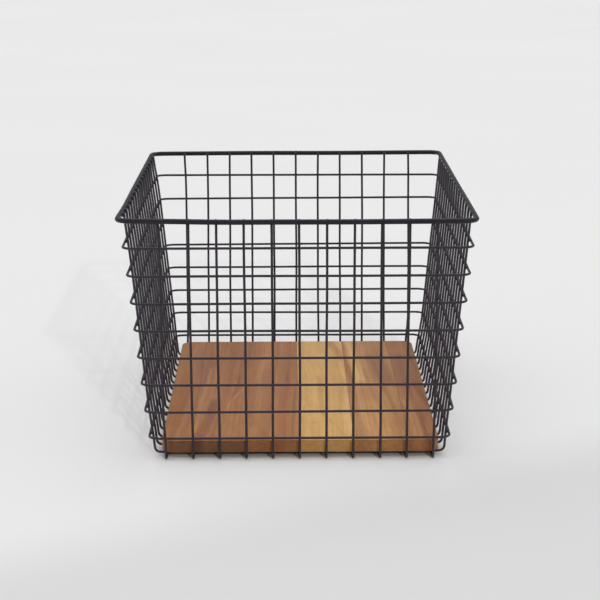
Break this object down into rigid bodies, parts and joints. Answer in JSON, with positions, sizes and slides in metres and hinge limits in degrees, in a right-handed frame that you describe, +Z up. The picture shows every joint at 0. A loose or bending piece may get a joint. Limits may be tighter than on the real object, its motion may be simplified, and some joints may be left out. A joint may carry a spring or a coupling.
{
  "type": "grid basket",
  "caption": "Tapered rectangular storage basket of welded wire with a thick rim and a loose wooden base board that lifts out.",
  "frame": {"origin": "middle of the footprint, on the floor", "axes": "+Z up, +Y along the longer side, away from the viewer, +X to the viewer's right"},
  "size_m": [0.3332, 0.4726, 0.2359],
  "materials": {
    "rim": "satin black powder coat",
    "grid": "satin black powder coat",
    "wood_brown": "oiled acacia, brown heartwood",
    "wood_honey": "oiled acacia, pale sapwood",
    "wood_tan": "oiled acacia, tan"
  },
  "bodies": {
    "wire_frame": {"rim_wire": "rim", "ring_wire_1": "grid", "ring_wire_2": "grid", "ring_wire_3": "grid", "ring_wire_4": "grid", "ring_wire_5": "grid", "ring_wire_6": "grid", "ring_wire_7": "grid", "ring_wire_8": "grid", "long_wire_1": "grid", "long_wire_2": "grid", "long_wire_3": "grid", "long_wire_4": "grid", "long_wire_5": "grid", "long_wire_6": "grid", "long_wire_7": "grid", "long_wire_8": "grid", "long_wire_9": "grid", "long_wire_10": "grid", "long_wire_11": "grid", "cross_wire_1": "grid", "cross_wire_2": "grid", "cross_wire_3": "grid", "cross_wire_4": "grid", "cross_wire_5": "grid", "cross_wire_6": "grid", "cross_wire_7": "grid", "cross_wire_8": "grid", "cross_wire_9": "grid", "cross_wire_10": "grid", "cross_wire_11": "grid", "cross_wire_12": "grid", "cross_wire_13": "grid", "cross_wire_14": "grid", "cross_wire_15": "grid", "cross_wire_16": "grid"},
    "base_board": {"board_stave_1": "wood_brown", "board_stave_2": "wood_brown", "board_stave_3": "wood_brown", "board_stave_4": "wood_honey", "board_stave_5": "wood_tan", "board_stave_6": "wood_brown"}
  },
  "joints": [
    {"name": "board_lift", "type": "slide", "parent": "wire_frame", "child": "base_board", "axis": [0, 0, 1], "range_m": [0, 0.25]}
  ]
}
